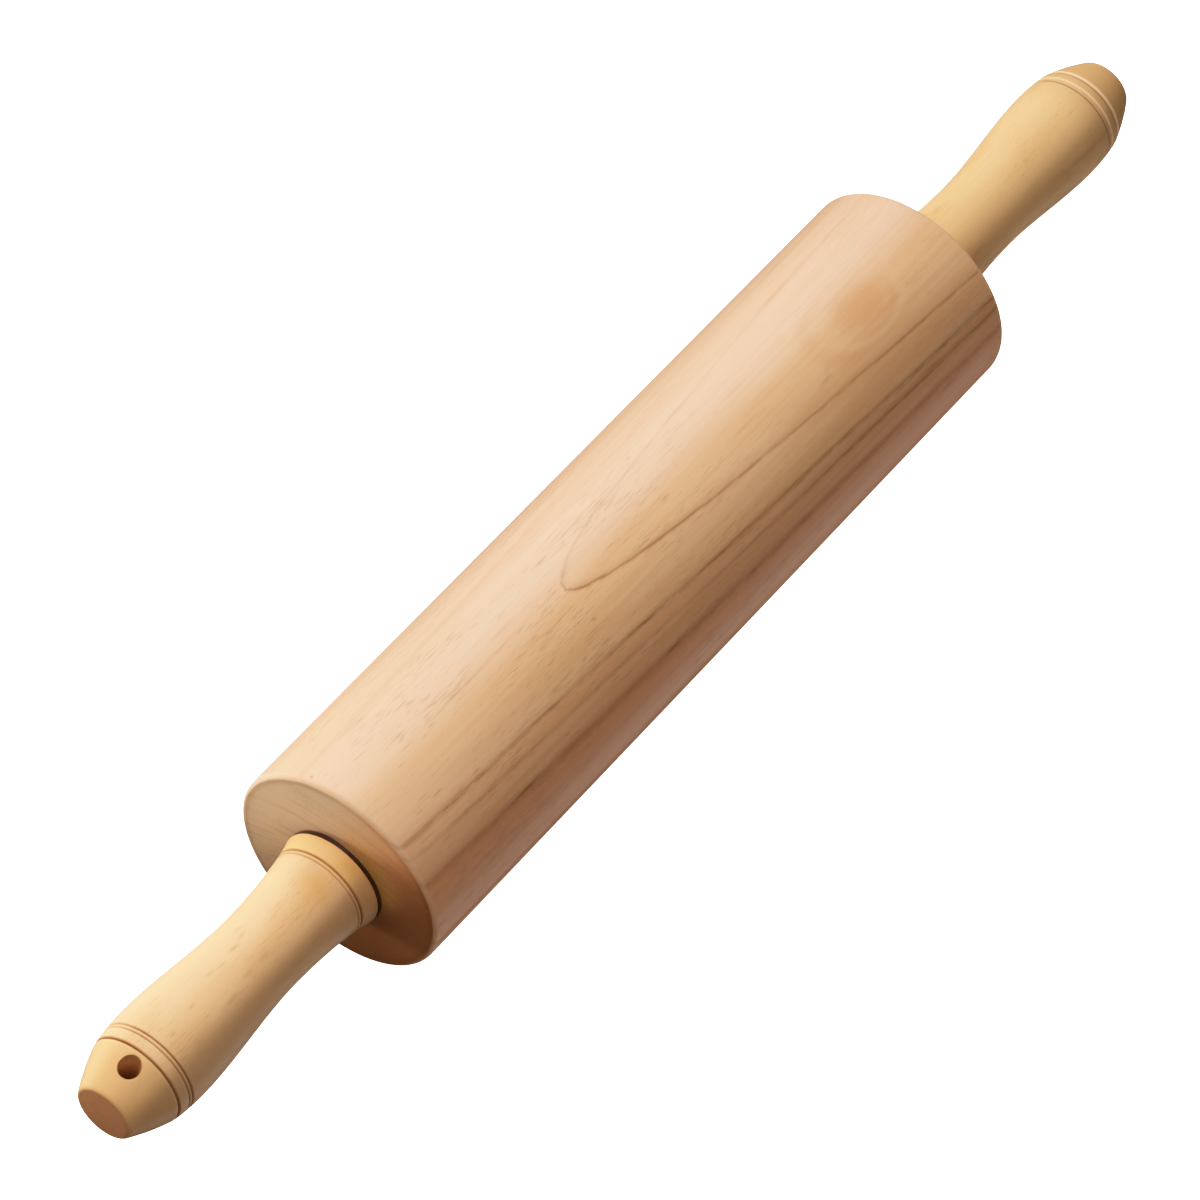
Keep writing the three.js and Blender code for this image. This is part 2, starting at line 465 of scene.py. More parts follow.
def markedRings(point, distance, slope, look):
    x, y, z = point
    rings = look["rings"]
    upper = fade(y, *rings["upperSide"])
    nearEnd = fade(x, *look["nearEnd"]["x"])
    vary = followRings(point, distance, **look["layers"]["vary"])
    fray = drawn(point, **look["grain"]["fray"])
    threads = fade(followRings(point, distance, **look["layers"]["threads"]), *rings["threads"])
    unbroken = (1.0 - rings["gapDepth"]) + fade(fray, *rings["gaps"]) * rings["gapDepth"]
    marks = []
    for ring in rings["marked"]:
        apart = (distance + nearEnd * ring["drop"] - ring["at"]) / slope + (fray - 0.5) * ring["fray"]
        stroke = bell(apart / ring["width"]) * unbroken
        split = bell(apart / rings["threadReach"]) * threads * ring["threads"]
        dark = (upper * (ring["high"] - ring["low"]) + ring["low"]) * (rings["leastDark"] + vary)
        grown = fade(x, ring["full"] - rings["fullRun"], ring["full"])
        share = grown * (1.0 - ring["before"]) + ring["before"]
        marks.append((stroke + ringShade(apart, rings["shade"]) + split) * dark * share)
    return total(marks)


def faintRings(distance, slope, faint):      # each as dark as chance has it
    count = distance / faint["pitch"]
    whole = count.maths("FLOOR", count)
    chance = count.node("ShaderNodeTexWhiteNoise", {"noise_dimensions": "1D"}, {"W": whole})
    apart = (count - whole - 0.5) * faint["pitch"] / slope
    stroke = bell(apart / faint["width"]) + ringShade(apart, faint["shade"])
    return stroke * chance * fade(distance, *faint["within"]) * faint["dark"]


def ovalFigure(x, angle, waver, colour, look):       # dusky, with a ring beside it and a light edge below
    oval = look["oval"]
    along = (x - oval["x"]) / oval["halfLength"]
    around = (angle - radians(oval["angle"])) * (look["radius"] / oval["halfWidth"])
    out = root(along * along + around * around) + waver * oval["waver"]
    nearSide = fade(along - around * oval["nearSide"]["tilt"], *oval["nearSide"]["reach"])
    foot = fade(along * oval["foot"]["tilt"] - around, *oval["foot"]["reach"])
    core = spot(along - oval["core"]["along"], around - oval["core"]["around"])
    dusky = total([
        fade(out, *oval["middle"]["reach"]) * oval["middle"]["dark"],
        core * oval["core"]["dark"],
        stripe(out, oval["nearRing"]) * nearSide * oval["nearRing"]["dark"],
        stripe(out, oval["footLine"]) * foot * oval["footLine"]["dark"],
    ])
    colour = layer(dusky, colour, oval["coat"])
    return layer(stripe(out, oval["footLight"]) * foot, colour, oval["lightCoat"])


def sideColour(point, distance, streak, look):
    x, y, z = point
    plain, warm, crownSheen, dusk = look["plain"], look["warm"], look["crownSheen"], look["dusk"]
    broad = followRings(point, distance, **look["layers"]["broad"])
    colour = tint(fade(streak, *plain["noise"]), look["light"], plain["colour"])
    colour = layer(fade(broad, *warm["noise"]), colour, warm)
    # painted sheen on the upper side
    colour = layer(fade(y, *crownSheen["y"]), colour, crownSheen)
    # inner ring bands darkened on the lower side only: partly painted shade
    inner = total([fade(distance, *step["within"]) * step["share"] for step in dusk["steps"]])
    colour = tint(inner * fade(y, *dusk["y"]), colour, dusk["colour"])
    # painted light at the near end, painted shade at the far end
    for coat in (look["nearEnd"], look["farEndShade"]):
        colour = layer(fade(x, *coat["x"]) * fade(y, *coat["y"]), colour, coat)
    return colour


def endColour(point, out, ends, colour, look):       # end grain, painted reflection above, painted shadow of the handle below, painted bounce light by the collar
    x, y, z = point
    pale, dark, gold = look["endPaleReflection"], look["endShadow"], look["endGoldBounce"]
    above = y * pale["lean"][0] + z * pale["lean"][1]
    under = y * dark["lean"][0] + z * dark["lean"][1]
    golden = fade(out, *gold["out"]) * fade(y, *gold["y"]) * fade(under, *gold["under"])
    colour = layer(ends, colour, look["endGrain"])
    colour = layer(ends * fade(above, *pale["reach"]), colour, pale)
    colour = layer(ends * fade(under, *dark["reach"]), colour, dark)
    return layer(ends * golden, colour, gold)


def endLines(point, distance, ends, lines, arcs):    # on the end faces the rings are cut across
    x, y, z = point
    cut = noise(distance / arcs["ring"], y / arcs["side"], x / arcs["side"], detail=arcs["detail"])
    return lines * (1.0 - ends * arcs["hides"]) + ends * fade(cut, *arcs["noise"]) * arcs["dark"]


def openPores(point, look):                  # short dashes, fewer towards the far end
    x, y, z = point
    pores = look["pores"]
    crowd = drawn(point, **look["grain"]["crowd"])
    dash = drawn(point, **look["grain"]["dash"]) + (crowd - 0.5) * pores["crowding"]
    share = pores["least"] + fade(x, *pores["x"]) * (1.0 - pores["least"])
    return fade(dash, *pores["noise"]) * share


def collarShadow(point, out, ends, colour, paintedShading):    # painted contact shadow where the collar shades the end face across the gap
    x, y, z = point
    reach = out + z * paintedShading["rise"] - fade(y, *paintedShading["widensY"]) * paintedShading["widens"]
    return layer(ends * fade(reach, *paintedShading["reach"]), colour, paintedShading)


def barrelMaterial(look):
    material, wire = newMaterial("barrelWood")
    point = places(wire)
    x, y, z = point
    ends = endFacing(wire)
    out = fromAxis(point)
    angle = angleRound(point)
    waver = drawn(point, **look["grain"]["waver"]) - 0.5
    streak = drawn(point, **look["grain"]["streak"])
    fibre = drawn(point, **look["grain"]["fibre"])
    pores = openPores(point, look)

    distance = heartDistance(point, waver, look)
    slope = ringSlope(point, distance, ends, look)
    flecks = [mark(x, angle, look["radius"], fleck) for fleck in look["flecks"]]
    rings = [markedRings(point, distance, slope, look), faintRings(distance, slope, look["faintRings"])]
    lines = endLines(point, distance, ends, total(rings + flecks), look["endArcs"])

    colour = sideColour(point, distance, streak, look)
    colour = ovalFigure(x, angle, waver, colour, look)
    colour = endColour(point, out, ends, colour, look)
    colour = tint(limit(lines), colour, look["rings"]["colour"])
    colour = layer(pores, colour, look["pores"])
    colour = layer(fade(fibre, *look["fibre"]["noise"]), colour, look["fibre"])
    colour = layer(ends * stripe(out, look["endRim"]), colour, look["endRim"])
    edge = fade(abs(x), *look["edgeWear"]["x"]) * fade(out, *look["edgeWear"]["out"])
    colour = layer(edge, colour, look["edgeWear"])
    colour = collarShadow(point, out, ends, colour, look["collarShadow"])

    rough = look["rough"]
    roughWood = rough["plain"] + pores * rough["pores"] + (streak - 0.5) * rough["streak"]
    closeMaterial(wire, {
        "Base Color": colour,
        "Roughness": roughWood + ends * rough["ends"] + edge * rough["edge"],
        "Specular IOR Level": look["sheen"],
        "Normal": bump(fibre * look["relief"]["fibre"] - pores, look["relief"]),
    })
    return material


# The barrel

barrel = {
    "halfLength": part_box("barrel")[1].x,
    "radius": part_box("barrel")[1].z / cos(pi / 64),      # the frame's barrel has 64 flats
    "edgeDrop": 1.0 * mm,
    "edgeRun": 1.8 * mm,
    "edgeLean": 0.4,             # of the drop, how far the eased edge's corner is set in
    "edgeSteps": 8,
    "rowSpacing": 6 * mm,
    "sides": 192,
    "sharpAngle": 20,
    "boreRadius": 5.0 * mm,
    "pocketRadius": 8.1 * mm,
    "pocketDepth": 22.05 * mm,
    "recessRadius": 10.6 * mm,
    "recessDepth": 3.05 * mm,
}


def barrelOutline(size):
    half, radius = size["halfLength"], size["radius"]
    drop, run = size["edgeDrop"], size["edgeRun"]
    corner = (half - size["edgeLean"] * drop, radius)
    rim = easedCorner((half, radius - drop), corner, (half - run, radius), size["edgeSteps"])
    pocket = half - size["pocketDepth"]
    recess = half - size["recessDepth"]
    end = [
        (pocket, size["boreRadius"]),
        (pocket, size["pocketRadius"]),
        (recess, size["pocketRadius"]),
        (recess, size["recessRadius"]),
        (half, size["recessRadius"]),
        *rim,
    ]
    rows = int((half - run) / size["rowSpacing"])
    body = [((half - run) * step / rows, radius) for step in range(rows - 1, -rows, -1)]
    otherEnd = [(-along, out) for along, out in reversed(end)]
    return end + body + otherEnd


def makeBarrel(size):
    piece = turnPiece("turnedBarrel", barrelOutline(size), size["sides"], closed=True)
    smoothPiece(piece, size["sharpAngle"])
    piece.data.materials.append(barrelMaterial(barrelWood))
    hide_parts("barrel")
    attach(piece, "roller")


makeBarrel(barrel)
print("barrel turned")


# Handle wood: a paler, yellower blank with straight grain, browned in the grooves. Heights are in
# millimetres from the base of the handle.

poreShade = rgb(0.40, 0.18, 0.065)

handleWood = {
    "sheen": 0.14,
    "grain": {
        "broad": {"length": 26.0, "width": 9.0},
        "streak": {"length": 46.0, "width": 1.3, "detail": 4.0, "roughness": 0.6},
        "dash": {"length": 4.0, "width": 0.30, "detail": 1.0},
        "fibre": {"length": 2.0, "width": 0.14},
    },
    "light": rgb(0.89, 0.50, 0.245),
    "plain": {"colour": rgb(0.87, 0.475, 0.22), "noise": (0.36, 0.66), "least": 0.25, "share": 0.5},
    "warm": {"colour": rgb(0.80, 0.40, 0.16), "noise": (0.46, 0.72), "share": 0.5},
    "thin": {"colour": rgb(0.55, 0.25, 0.09), "noise": (0.62, 0.76), "share": 0.14,
             "length": 60.0, "start": 7.0, "width": 0.8, "thickness": 2.5},
    "pores": {"colour": poreShade, "noise": (0.62, 0.76), "crowding": 0.4, "share": 0.30},

    # The collar and the cone take more colour where the wood is warm
    "turned": {"least": 0.35, "broad": 0.6},
    "collar": {"colour": rgb(0.96, 0.48, 0.15), "height": (7.0, 4.0)},
    "cone": {"colour": rgb(0.79, 0.395, 0.142), "height": (74.0, 76.0)},
    "dullAndShade": {"colour": rgb(0.46, 0.25, 0.11), "height": (60.0, 78.0), "tip": 0.0,
             "y": (-5.5, -10.0), "under": 0.65},         # darker towards the tip, and painted shade on the lower side

    # The cut end of the tip, clouded and darker at its rim
    "endGrain": {"colour": rgb(0.65, 0.255, 0.11), "share": 0.85},
    "clouds": {"size": (3.0, 2.2, 1.4), "detail": 3.0, "noise": (0.42, 0.70), "share": 0.25},
    "tipRim": {"out": (6.2, 7.0), "share": 0.25},

    # The brown in each groove from the base up, how much of it is taken off on the side towards +Y as
    # painted light, and the painted highlight on the groove's lip towards the tip. Places and widths here
    # are in widths of the groove.
    "groove": {"colour": rgb(0.20, 0.065, 0.012), "at": -0.12, "width": 0.26, "least": 0.72, "broad": 0.5,
               "brown": (0.70, 0.42, 0.75, 0.55, 0.90),
               "litSideFade": (0.0, 0.0, 0.6, 0.5, 0.0), "litSideY": (1.0, 11.0)},
    # painted highlight on the groove's lip
    "lip": {"colour": rgb(0.98, 0.60, 0.33), "start": 0.18, "width": 0.24,
            "light": (0.21, 0.12, 0.19, 0.14, 0.22)},
    # darker inside the hanging hole: painted shade
    "drilled": {"colour": rgb(0.53, 0.23, 0.08), "edge": 0.25, "share": 0.85},

    "rough": {"plain": 0.34, "pores": 0.2, "streak": 0.14, "ends": 0.2, "drilled": 0.3,
              "base": 0.4, "baseHeight": (1.2, 0.4)},
    "relief": {"fibre": 0.35, "depth": 0.05 * mm, "strength": 0.45},

    # Single marks: height, degrees from the top towards +Y, half length, half width, strength
    "fleckColour": poreShade,
    "flecks": [
        (37.6, 10.0, 1.5, 0.45, 0.50),
        (33.5, 15.0, 1.2, 0.40, 0.35),
        (32.0, 26.0, 1.0, 0.50, 0.30),
        (43.6, 5.0, 1.2, 0.40, 0.35),
        (47.3, 7.0, 1.4, 0.40, 0.30),
        (57.6, -5.0, 1.2, 0.40, 0.30),
        (66.6, -11.0, 0.9, 0.35, 0.40),
        (40.4, -23.0, 2.0, 0.50, 0.30),
        (34.0, -22.0, 2.0, 0.50, 0.25),
        (48.5, -30.0, 2.6, 0.50, 0.35),
        (61.0, 30.0, 1.8, 0.50, 0.22),
    ],
    "stainColour": rgb(0.70, 0.31, 0.075),
    "stains": [
        (10.5, 2.0, 3.5, 4.0, 0.50),
        (12.5, -14.0, 4.5, 3.0, 0.30),
        (1.6, -26.0, 2.0, 3.5, 0.50),
    ],
}

# The far handle is from a duller blank
farHandleWood = {
    **handleWood,
    "sheen": 0.06,
    "light": rgb(0.79, 0.445, 0.197),
    "plain": {**handleWood["plain"], "colour": rgb(0.76, 0.415, 0.176)},
    "warm": {**handleWood["warm"], "colour": rgb(0.69, 0.35, 0.136)},
    "dullAndShade": {**handleWood["dullAndShade"], "tip": 0.58, "under": 0.42},
    "groove": {**handleWood["groove"], "brown": (0.70, 0.42, 1.0, 0.10, 1.0),
               "litSideFade": (0.0, 0.0, 0.0, 0.0, 0.0)},
    "lip": {**handleWood["lip"], "width": 0.42, "light": (0.21, 0.12, 0.15, 0.80, 0.95)},
    "rough": {**handleWood["rough"], "plain": 0.42},
    "flecks": [
        (62.0, -58.0, 9.0, 0.80, 0.35),
        (14.0, -50.0, 3.0, 0.60, 0.30),
    ],
    "stains": [],
}


def straightGrain(point, streak, broad, pores, look):
    x, y, z = point
    plain, warm, thin = look["plain"], look["warm"], look["thin"]
    streaked = plain["least"] + fade(streak, *plain["noise"]) * plain["share"]
    line = noise(x / thin["length"] + thin["start"], y / thin["width"], z / thin["thickness"])
    colour = tint(streaked, look["light"], plain["colour"])
    colour = layer(fade(broad, *warm["noise"]), colour, warm)
    colour = layer(fade(line, *thin["noise"]), colour, thin)
    return layer(pores, colour, look["pores"])


def turnedColour(height, y, broad, colour, look):
    dullAndShade = look["dullAndShade"]
    warmth = look["turned"]["least"] + broad * look["turned"]["broad"]
    for part in (look["collar"], look["cone"]):
        colour = tint(fade(height, *part["height"]) * warmth, colour, part["colour"])
    colour = tint(fade(height, *dullAndShade["height"]) * dullAndShade["tip"], colour, dullAndShade["colour"])
    # painted shade on the lower side
    return tint(fade(y, *dullAndShade["y"]) * dullAndShade["under"], colour, dullAndShade["colour"])


def cutEnd(point, out, ends, colour, look):  # end grain on the tip and on the base
    x, y, z = point
    clouds, rim = look["clouds"], look["tipRim"]
    long, wide, thick = clouds["size"]
    cloud = fade(noise(x / long, y / wide, z / thick, detail=clouds["detail"]), *clouds["noise"])
    dark = cloud * clouds["share"] + fade(out, *rim["out"]) * rim["share"]
    colour = layer(ends, colour, look["endGrain"])
    return tint(ends * dark, colour, look["dullAndShade"]["colour"])


def grooveColour(height, y, broad, colour, grooves, look):   # a painted highlight on the lip and a burnished bottom for each
    groove, lip = look["groove"], look["lip"]
    litSide = fade(y, *groove["litSideY"])
    strokes = []
    for cut, brown, litSideFade, light in zip(grooves, groove["brown"], groove["litSideFade"], lip["light"]):
        off = (height - cut["at"] / mm) / (cut["width"] / mm)
        # painted highlight on the lip towards the tip
        paintedShading = bell((off - lip["start"] - lip["width"]) / lip["width"]) * light
        colour = tint(paintedShading, colour, lip["colour"])
        # brown taken off on the side towards +Y: painted light
        strokes.append(stripe(off, groove) * brown * (1.0 - litSide * litSideFade))
    burnt = total(strokes) * (groove["least"] + broad * groove["broad"])
    return tint(limit(burnt), colour, groove["colour"])


def insideHole(x, y, hole, edge):            # 1 inside the drilled hole
    off = x - hole["x"] / mm
    radius = hole["radius"] / mm
    return fade(root(off * off + y * y), radius + edge, radius)


def handleMaterial(name, look, size, hole):
    material, wire = newMaterial(name)
    point = places(wire)
    x, y, z = point
    ends = endFacing(wire)
    out = fromAxis(point)
    angle = angleRound(point)
    height = abs(x) - size["base"] / mm
    broad = drawn(point, **look["grain"]["broad"])
    streak = drawn(point, **look["grain"]["streak"])
    fibre = drawn(point, **look["grain"]["fibre"])
    dash = drawn(point, **look["grain"]["dash"]) + (broad - 0.5) * look["pores"]["crowding"]
    pores = fade(dash, *look["pores"]["noise"])
    drilled = insideHole(x, y, hole, look["drilled"]["edge"])

    colour = straightGrain(point, streak, broad, pores, look)
    colour = turnedColour(height, y, broad, colour, look)
    for stain in look["stains"]:
        colour = tint(mark(height, angle, out, stain), colour, look["stainColour"])
    for fleck in look["flecks"]:
        colour = tint(mark(height, angle, out, fleck), colour, look["fleckColour"])
    colour = cutEnd(point, out, ends, colour, look)
    colour = grooveColour(height, y, broad, colour, size["grooves"], look)
    # painted shade inside the hole
    colour = layer(drilled, colour, look["drilled"])

    rough = look["rough"]
    roughWood = rough["plain"] + pores * rough["pores"] + (streak - 0.5) * rough["streak"]
    roughBase = fade(height, *rough["baseHeight"]) * rough["base"]
    closeMaterial(wire, {
        "Base Color": colour,
        "Roughness": roughWood + ends * rough["ends"] + drilled * rough["drilled"] + roughBase,
        "Specular IOR Level": look["sheen"],
        "Normal": bump(fibre * look["relief"]["fibre"] - pores, look["relief"]),
    })
    return material


# The handles, measured up from the base of each

handle = {
    "base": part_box("plain_handle")[0].x,
    "length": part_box("plain_handle")[1].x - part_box("plain_handle")[0].x,
    "collarRadius": 14.2 * mm,
    "collarLength": 5.1 * mm,
    "collarEdge": 0.8 * mm,
    "neckRadius": 13.0 * mm,
    "waistRadius": 11.4 * mm,
    "waistAt": 28.0 * mm,
    "bellyRadius": 13.9 * mm,
    "bellyAt": 65.2 * mm,
    "shoulderRadius": 13.15 * mm,
    "shoulderAt": 75.1 * mm,
    "tipRadius": 7.9 * mm,
    "tipCrown": 0.37 * mm,
    "tipEdge": 0.9 * mm,
    "grooves": [
        {"at": 5.1 * mm, "width": 0.95 * mm, "depth": 0.45 * mm},
        {"at": 6.2 * mm, "width": 0.75 * mm, "depth": 0.25 * mm},
        {"at": 70.65 * mm, "width": 0.90 * mm, "depth": 0.42 * mm},
        {"at": 71.75 * mm, "width": 0.80 * mm, "depth": 0.30 * mm},
        {"at": 75.1 * mm, "width": 1.15 * mm, "depth": 0.50 * mm},
    ],
    "insertRadius": 6.1 * mm,
    "insertDepth": 15.05 * mm,
    "rodRadius": 4.1 * mm,
    "rodDepth": 42.05 * mm,
    "rowSpacing": 1.1 * mm,
    "grooveSteps": 6,
    "edgeSteps": 6,
    "sides": 128,
    "sharpAngle": 40,
}

hangingHole = {
    "x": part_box("hanging_handle")[0].x + 8.3 * mm,
    "radius": 2.82 * mm,
    "easing": 0.1 * mm,
    "easingUnder": 0.9,          # of the easing, how much lies under the handle's surface
    "easingSteps": 5,
    "sides": 64,
}


def handleRadius(height, size):
    if height < size["collarLength"]:
        return lerp(size["collarRadius"], size["neckRadius"], height / size["collarLength"])
    if height < size["waistAt"]:
        fall = (size["waistAt"] - height) / (size["waistAt"] - size["collarLength"])
        return lerp(size["waistRadius"], size["neckRadius"], fall ** 2)
    if height < size["bellyAt"]:
        swell = (height - size["waistAt"]) / (size["bellyAt"] - size["waistAt"])
        return lerp(size["waistRadius"], size["bellyRadius"], swell ** 2 * (3 - 2 * swell))
    if height < size["shoulderAt"]:
        drop = (height - size["bellyAt"]) / (size["shoulderAt"] - size["bellyAt"])
        return lerp(size["bellyRadius"], size["shoulderRadius"], drop ** 2)
    run = (height - size["shoulderAt"]) / (size["length"] - size["shoulderAt"])
    return lerp(size["shoulderRadius"], size["tipRadius"], run) + 4 * size["tipCrown"] * run * (1 - run)


def groovedRadius(height, size):
    radius = handleRadius(height, size)
    for groove in size["grooves"]:
        off = abs(height - groove["at"]) / (groove["width"] / 2)
        if off < 1:
            radius -= groove["depth"] * (1 + cos(pi * off)) / 2
    return radius


def handleHeights(size, low, high):          # close rows in the grooves, wider ones between them
    heights = []
    steps = size["grooveSteps"]
    for groove in size["grooves"]:
        half = groove["width"] / 2
        heights += [groove["at"] + half * step / steps for step in range(-steps, steps + 1)]
    rows = int((high - low) / size["rowSpacing"])
    clear = size["rowSpacing"] / 4
    for step in range(rows + 1):
        height = lerp(low, high, step / rows)
        if all(abs(height - groove["at"]) > groove["width"] / 2 + clear for groove in size["grooves"]):
            heights.append(height)
    return sorted(heights)


def handleOutline(size):
    length, edge, tipEdge = size["length"], size["collarEdge"], size["tipEdge"]
    steps = size["edgeSteps"]
    collar = handleRadius(0, size)
    collarTop = (edge, handleRadius(edge, size))
    tipStart = (length - tipEdge, handleRadius(length - tipEdge, size))
    tipCorner = (length, size["tipRadius"])
    tipFace = (length, size["tipRadius"] - tipEdge)
    rows = handleHeights(size, edge, length - tipEdge)
    return [
        (size["rodDepth"], 0),
        (size["rodDepth"], size["rodRadius"]),
        (size["insertDepth"], size["rodRadius"]),
        (size["insertDepth"], size["insertRadius"]),
        (0, size["insertRadius"]),
        *easedCorner((0, collar - edge), (0, collar), collarTop, steps)[:-1],
        *[(height, groovedRadius(height, size)) for height in rows],
        *easedCorner(tipStart, tipCorner, tipFace, steps)[1:],
        (length, 0),
    ]


def mouthRing(hole, size, out, under):       # points round the hole, this far under the handle's surface
    points = []
    for step in range(hole["sides"]):
        a = 2 * pi * step / hole["sides"]
        x = hole["x"] + out * cos(a)
        y = out * sin(a)
        radius = handleRadius(-x - size["base"], size)
        points.append((x, y, sqrt(radius ** 2 - y ** 2) - under))
    return points


def holeCutter(hole, size):                  # a drill whose mouths flare to follow the handle's surface
    mouth = []
    for step in range(hole["easingSteps"] + 1):
        t = pi / 2 * step / hole["easingSteps"]
        out = hole["radius"] + hole["easing"] * (1 - cos(t))
        mouth.append(mouthRing(hole, size, out, hole["easing"] * (hole["easingUnder"] - sin(t))))
    mouth.append([(x, y, z + size["collarRadius"]) for x, y, z in mouth[-1]])
    shape = bmesh.new()
    upper = [[shape.verts.new(point) for point in ring] for ring in mouth]
    lower = [[shape.verts.new((x, y, -z)) for x, y, z in ring] for ring in mouth]
    rings = lower[::-1] + upper
    for first, second in zip(rings, rings[1:]):
        joinRings(shape, first, second)
    shape.faces.new(rings[0])
    shape.faces.new(rings[-1])
    return addPiece("holeCutter", shape)


def drill(piece, hole, size):
    cutter = holeCutter(hole, size)
    cut = piece.modifiers.new("hangingHole", "BOOLEAN")
    cut.operation = "DIFFERENCE"
    cut.solver = "EXACT"
    cut.object = cutter
    shaped = piece.evaluated_get(bpy.context.evaluated_depsgraph_get())
    piece.data = bpy.data.meshes.new_from_object(shaped)
    piece.modifiers.clear()
    bpy.data.objects.remove(cutter)


def makeHandle(name, node, direction, size, material, hole=None):
    outline = [(direction * (size["base"] + height), radius) for height, radius in handleOutline(size)]
    piece = turnPiece(name, outline, size["sides"])
    if hole:
        drill(piece, hole, size)
    smoothPiece(piece, size["sharpAngle"])
    piece.data.materials.append(material)
    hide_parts(node)
    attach(piece, "handles")


nearFinish = handleMaterial("nearHandleWood", handleWood, handle, hangingHole)
farFinish = handleMaterial("farHandleWood", farHandleWood, handle, hangingHole)
makeHandle("hangingHandle", "hanging_handle", -1, handle, nearFinish, hangingHole)
makeHandle("plainHandle", "plain_handle", 1, handle, farFinish)
print("handles turned, one drilled")


# Rod, washers, bushes and inserts keep the frame's own shapes

fittings = {
    "rodSteel": {
        "nodes": ["axle_rod", "near_washer", "far_washer"],
        "light": rgb(0.60, 0.61, 0.63),
        "dark": rgb(0.42, 0.43, 0.45),
        "metal": 1.0,
        "rough": 0.30,
        "gapShade": 0.0,
    },
    "bushNylon": {
        "nodes": ["near_bush", "far_bush"],
        "light": rgb(0.80, 0.77, 0.69),
        "dark": rgb(0.70, 0.67, 0.58),
        "metal": 0.0,
        "rough": 0.50,
        "gapShade": 0.9,           # painted shade round the rim, in the gap where it meets the wood
    },
    "insertBrass": {
        "nodes": ["near_insert", "far_insert"],
        "light": rgb(0.72, 0.52, 0.22),
        "dark": rgb(0.55, 0.36, 0.13),
        "metal": 1.0,
        "rough": 0.34,
        "gapShade": 0.0,
    },
}

fittingSurface = {
    "lathe": {"length": 0.25, "width": 14.0, "detail": 3.0},     # fine marks round the piece
    "cloud": {"length": 6.0, "width": 6.0},
    "latheShare": 0.4,
    "cloudShare": 0.6,
    "darkens": (0.35, 0.65),
    "latheRough": 0.12,
    "relief": {"depth": 0.01 * mm, "strength": 0.3},
    # painted shade in the gap round the bush's rim
    "gapShadeColour": rgb(0.06, 0.025, 0.012),
    "gapShadeRim": (7.8, 8.8),
}


def fittingMaterial(name, look, surface):
    material, wire = newMaterial(name)
    point = places(wire)
    lathe = drawn(point, **surface["lathe"])
    cloud = drawn(point, **surface["cloud"])
    mottle = cloud * surface["cloudShare"] + lathe * surface["latheShare"]
    colour = tint(fade(mottle, *surface["darkens"]), look["light"], look["dark"])
    # the rim darkened: painted shade in the gap
    rim = fade(fromAxis(point), *surface["gapShadeRim"])
    closeMaterial(wire, {
        "Base Color": tint(rim * look["gapShade"], colour, surface["gapShadeColour"]),
        "Metallic": look["metal"],
        "Roughness": look["rough"] + lathe * surface["latheRough"],
        "Normal": bump(lathe, surface["relief"]),
    })
    return material


for finish, look in fittings.items():
    material = fittingMaterial(finish, look, fittingSurface)
    for node in look["nodes"]:
        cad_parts[node].data.materials.clear()
        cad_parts[node].data.materials.append(material)
print("fittings finished")


# A pale floor that sweeps up into a wall all round, lit by itself so that it stays even. Lengths from
# here on are in metres.

cove = {
    "floor": -barrel["radius"],
    "floorRadius": 4.0,
    "bend": 2.0,
    "wall": 5.0,
    "bendSteps": 10,
    "sides": 96,
    "paint": rgb(0.90, 0.90, 0.90),
    "rough": 0.9,
    "glowColour": rgb(1, 1, 1),
    "glow": 1.8,
}


def makeCove(size):
    outline = [(0, 0), (0, size["floorRadius"])]
    for step in range(1, size["bendSteps"] + 1):
        a = pi / 2 * step / size["bendSteps"]
        outline.append((size["bend"] * (1 - cos(a)), size["floorRadius"] + size["bend"] * sin(a)))
    outline.append((size["wall"], size["floorRadius"] + size["bend"]))
    piece = turnPiece("paleFloor", outline, size["sides"])
    piece.rotation_euler = (0, -pi / 2, 0)
    piece.location.z = size["floor"]
    piece.data.shade_smooth()
    material, wire = newMaterial("palePaint")
    closeMaterial(wire, {
        "Base Color": size["paint"],
        "Roughness": size["rough"],
        "Emission Color": size["glowColour"],
        "Emission Strength": size["glow"],
    })
    piece.data.materials.append(material)
    piece.visible_diffuse = False
    piece.visible_glossy = False
    piece.visible_shadow = False


makeCove(cove)


# Large soft boxes over the upper left of the photograph, and fill from the other side and from below.
# Each has its angle round the pin from the top towards +Y, its lean along +X, its size along and
# across the pin, its power in watts, and whether it shows as sheen on the wood.

lamps = {
    "highBox": {"angle": 48, "lean": 0.25, "along": 1.5, "across": 1.3, "power": 15.8, "shines": True},
    "topBox": {"angle": 26, "lean": -0.15, "along": 1.5, "across": 1.2, "power": 4.8, "shines": True},
    "nearSpot": {"angle": 42, "lean": -0.60, "along": 1.3, "across": 1.3, "power": 1.3, "shines": False},
    "sideBox": {"angle": 92, "lean": 0.20, "along": 1.6, "across": 1.0, "power": 2.9, "shines": True},
    "farFill": {"angle": -35, "lean": 0.30, "along": 1.4, "across": 0.9, "power": 1.5, "shines": False},
    "nearFill": {"angle": -35, "lean": -0.55, "along": 1.2, "across": 0.9, "power": 3.1, "shines": False},
    "lowFill": {"angle": -145, "lean": 0.40, "along": 1.4, "across": 0.9, "power": 7.0, "shines": False},
    "lowGlow": {"angle": -145, "lean": 0.20, "along": 1.4, "across": 0.9, "power": 0.8, "shines": True},
}

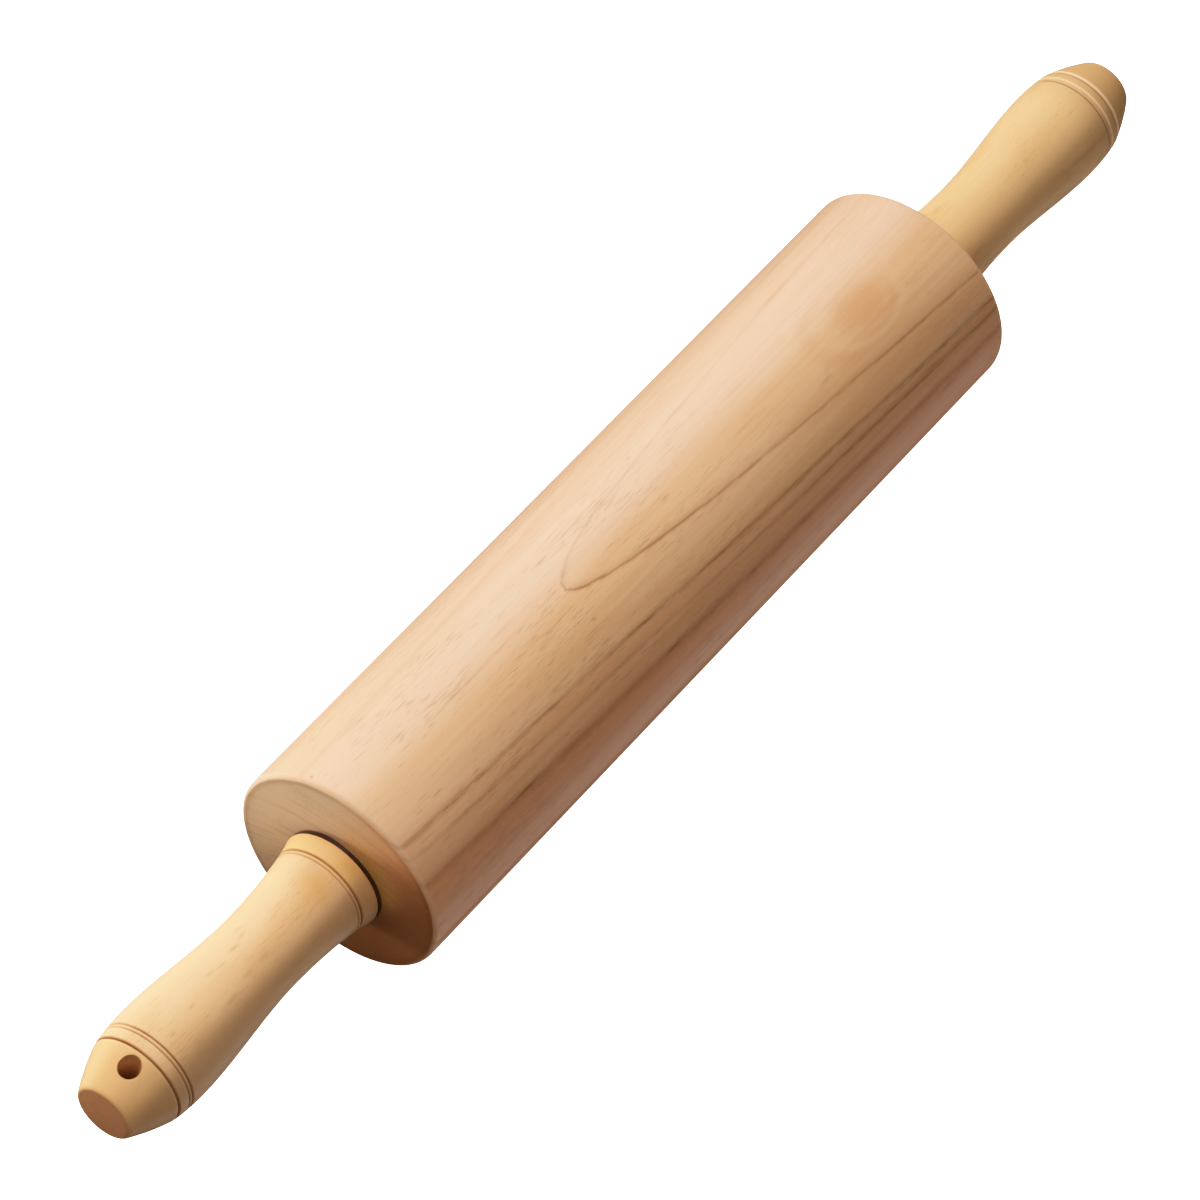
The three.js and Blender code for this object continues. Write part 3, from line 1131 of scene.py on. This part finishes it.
# Stretches of floor that the boxes light up, by the near end and along the barrel, and that shine back
litFloor = {
    "nearFloor": {"x": -0.23, "y": 0.165, "along": 0.26, "across": 0.19, "power": 0.65},
    "sideFloor": {"x": 0.06, "y": 0.13, "along": 0.34, "across": 0.15, "power": 0.08},
}

studio = {
    "lampDistance": 1.4,
    "litFloorDepth": 1 * mm,     # below the floor, so that no box shows above it
    "sky": 0.0,
    "white": 1.6,                # scene light that prints as white
    "toe": 1.1,                  # the print's response is 1 - (1 - light ** toe) ** shoulder
    "shoulder": 4.0,
    "responseSteps": (0.04, 0.1, 0.2, 0.35, 0.55, 0.78),
}


def makeBox(name, lamp, place, out):         # a soft box that shines along -out
    light = bpy.data.lights.new(name, "AREA")
    light.shape = "RECTANGLE"
    light.size = lamp["along"]
    light.size_y = lamp["across"]
    light.energy = lamp["power"]
    along = (Vector((1, 0, 0)) - out * out.x).normalized()
    box = bpy.data.objects.new(name, light)
    box.matrix_world = Matrix((along, out.cross(along), out)).transposed().to_4x4()
    box.location = place
    scene.collection.objects.link(box)
    return box


def makeLamps():
    for name, lamp in lamps.items():
        turn = radians(lamp["angle"])
        flat = sqrt(1 - lamp["lean"] ** 2)
        out = Vector((lamp["lean"], flat * sin(turn), flat * cos(turn)))
        box = makeBox(name, lamp, out * studio["lampDistance"], out)
        box.visible_glossy = lamp["shines"]
    for name, lamp in litFloor.items():
        place = Vector((lamp["x"], lamp["y"], cove["floor"] - studio["litFloorDepth"]))
        box = makeBox(name, lamp, place, Vector((0, 0, -1)))
        box.visible_glossy = False


def makeWorld():
    world = bpy.data.worlds.new("studio")
    world.use_nodes = True
    world.node_tree.nodes["Background"].inputs["Strength"].default_value = studio["sky"]
    scene.world = world


def setPrint():                      # a film-like response: soft in the lights, full in the shades
    settings = scene.view_settings
    settings.view_transform = "Standard"
    settings.use_curve_mapping = True
    mapping = settings.curve_mapping
    mapping.extend = "HORIZONTAL"
    mapping.white_level = [studio["white"]] * 3
    curve = mapping.curves[3]        # the one for all three colours
    for light in studio["responseSteps"]:
        curve.points.new(light, 1 - (1 - light ** studio["toe"]) ** studio["shoulder"])
    mapping.update()


setPrint()
makeLamps()
makeWorld()
print("floor and lights placed")
